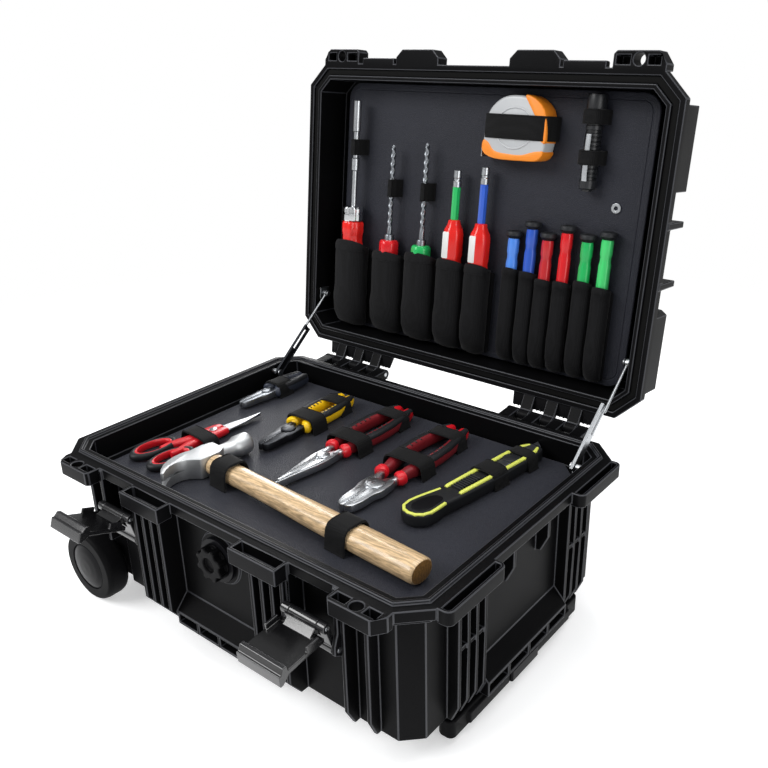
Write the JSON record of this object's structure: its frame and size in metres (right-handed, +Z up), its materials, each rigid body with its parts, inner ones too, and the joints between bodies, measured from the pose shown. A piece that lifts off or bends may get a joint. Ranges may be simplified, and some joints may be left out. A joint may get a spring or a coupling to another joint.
{
  "type": "wheeled hard tool case",
  "caption": "Open wheeled hard tool case with latched hinged lid, pull handle, lid board of drivers and a lift-out pallet of strapped hand tools.",
  "frame": {"origin": "on the ground, at the underside of the wear block under the middle of the base", "axes": "+Z up, -Y towards the latches, +Y towards the hinges, +X towards the pull handle"},
  "size_m": [0.466, 0.5098, 0.5156],
  "materials": {
    "case_plastic": "moulded black polypropylene",
    "latch_plastic": "moulded black nylon",
    "trim_plastic": "smooth dark grey plastic",
    "rubber": "black rubber",
    "tyre": "black polyurethane tyre",
    "steel": "zinc plated steel",
    "tube": "anodised tube",
    "dark_steel": "black coated steel",
    "board": "dark blue grey leatherette on board",
    "pocket": "black woven nylon",
    "band": "black elastic",
    "wood": "varnished beech",
    "tool_steel": "polished tool steel",
    "red_grip": "red dipped vinyl",
    "yellow_grip": "yellow dipped vinyl",
    "dark_grip": "dark grip",
    "tape_case": "silver painted plastic",
    "driver_grip": "clear coloured grips"
  },
  "bodies": {
    "base": {"base_shell": "case_plastic", "base_feet": "rubber", "rail_cover": "case_plastic", "rail_outer_tubes": "tube", "wheel_axles": "steel", "latch_foot_pins": "steel", "hinge_pins": "steel", "valve_body": "case_plastic", "stay_pegs": "steel"},
    "rail_middle": {"rail_middle_tubes": "tube"},
    "rail_inner": {"rail_inner_tubes": "tube", "pull_grip": "case_plastic"},
    "pull_button": {"pull_button": "trim_plastic"},
    "wheel_front": {"wheel_tyre_front": "tyre", "wheel_hub_front": "trim_plastic"},
    "wheel_rear": {"wheel_tyre_rear": "tyre", "wheel_hub_rear": "trim_plastic"},
    "latch_link_left": {"latch_link_left": "latch_plastic", "latch_knee_pin_left": "steel"},
    "latch_link_right": {"latch_link_right": "latch_plastic", "latch_knee_pin_right": "steel"},
    "latch_lever_left": {"latch_lever_left": "latch_plastic"},
    "latch_lever_right": {"latch_lever_right": "latch_plastic"},
    "valve_knob": {"valve_knob": "case_plastic"},
    "stay_channel_left": {"stay_channel_left": "dark_steel"},
    "stay_channel_right": {"stay_channel_right": "steel"},
    "stay_wire_left": {"stay_wire_left": "steel"},
    "stay_wire_right": {"stay_wire_right": "steel"},
    "lid": {"lid_shell": "case_plastic", "lid_gasket": "rubber", "lid_board": "board", "board_snap": "steel", "stay_brackets": "steel", "pockets_wide": "pocket", "pockets_narrow": "pocket", "board_bands": "band", "tool_tape_measure": "tape_case", "tool_torch": "dark_grip", "tool_socket_driver": "driver_grip", "tool_twist_drivers": "tool_steel", "tool_testers": "driver_grip", "tool_small_drivers": "driver_grip"},
    "pallet": {"pallet": "board", "pallet_bands": "band", "tool_hammer_head": "tool_steel", "tool_hammer_handle": "wood", "tool_scissors": "red_grip", "tool_dark_pliers": "dark_grip", "tool_yellow_pliers": "yellow_grip", "tool_long_nose_pliers": "red_grip", "tool_combination_pliers": "red_grip", "tool_knife": "dark_grip"}
  },
  "joints": [
    {"name": "lid_hinge", "type": "hinge", "parent": "base", "child": "lid", "pos_m": [0, 0.184, 0.157], "axis": [1, 0, 0], "range_deg": [0, 97]},
    {"name": "latch_link_left", "type": "hinge", "parent": "base", "child": "latch_link_left", "pos_m": [-0.124, -0.164, 0.104], "axis": [-1, 0, 0], "range_deg": [-7.77, 13.39]},
    {"name": "latch_lever_left", "type": "hinge", "parent": "latch_link_left", "child": "latch_lever_left", "pos_m": [-0.124, -0.16954, 0.12735], "axis": [-1, 0, 0], "range_deg": [-33, 57]},
    {"name": "stay_channel_left", "type": "hinge", "parent": "base", "child": "stay_channel_left", "pos_m": [-0.199, 0.118, 0.155], "axis": [1, 0, 0], "range_deg": [0, 147.3]},
    {"name": "stay_wire_left", "type": "hinge", "parent": "lid", "child": "stay_wire_left", "pos_m": [-0.2016, 0.21212, 0.23012], "axis": [1, 0, 0], "range_deg": [-107.9, 0]},
    {"name": "latch_link_right", "type": "hinge", "parent": "base", "child": "latch_link_right", "pos_m": [0.124, -0.164, 0.104], "axis": [-1, 0, 0], "range_deg": [-3.09, 18.07]},
    {"name": "latch_lever_right", "type": "hinge", "parent": "latch_link_right", "child": "latch_lever_right", "pos_m": [0.124, -0.17142, 0.12682], "axis": [-1, 0, 0], "range_deg": [-13, 77]},
    {"name": "stay_channel_right", "type": "hinge", "parent": "base", "child": "stay_channel_right", "pos_m": [0.199, 0.118, 0.155], "axis": [1, 0, 0], "range_deg": [0, 147.3]},
    {"name": "stay_wire_right", "type": "hinge", "parent": "lid", "child": "stay_wire_right", "pos_m": [0.2016, 0.21212, 0.23012], "axis": [1, 0, 0], "range_deg": [-107.9, 0]},
    {"name": "wheel_front", "type": "hinge", "parent": "base", "child": "wheel_front", "pos_m": [-0.192, -0.16, 0.038], "axis": [0, 1, 0], "continuous": true},
    {"name": "wheel_rear", "type": "hinge", "parent": "base", "child": "wheel_rear", "pos_m": [-0.192, 0.16, 0.038], "axis": [0, 1, 0], "continuous": true},
    {"name": "rail_middle_slide", "type": "slide", "parent": "base", "child": "rail_middle", "axis": [1, 0, 0], "range_m": [0, 0.3]},
    {"name": "rail_inner_slide", "type": "slide", "parent": "rail_middle", "child": "rail_inner", "axis": [1, 0, 0], "range_m": [0, 0.3]},
    {"name": "pull_button_press", "type": "slide", "parent": "rail_inner", "child": "pull_button", "axis": [-1, 0, 0], "range_m": [0, 0.004], "stiffness_N_per_m": 400},
    {"name": "valve_knob_turn", "type": "hinge", "parent": "base", "child": "valve_knob", "pos_m": [0, -0.155, 0.117], "axis": [0, -1, 0], "range_deg": [0, 180]},
    {"name": "pallet_lift", "type": "slide", "parent": "base", "child": "pallet", "axis": [0, 0, -1], "range_m": [-0.25, 0]}
  ],
  "couplings": [
    {"joint": "latch_link_left", "follows": "latch_lever_left", "ratio": 0.234},
    {"joint": "stay_channel_left", "follows": "lid_hinge", "ratio": 1.5173},
    {"joint": "stay_wire_left", "follows": "lid_hinge", "ratio": -1.1114},
    {"joint": "latch_link_right", "follows": "latch_lever_right", "ratio": 0.234},
    {"joint": "stay_channel_right", "follows": "lid_hinge", "ratio": 1.5173},
    {"joint": "stay_wire_right", "follows": "lid_hinge", "ratio": -1.1114}
  ]
}
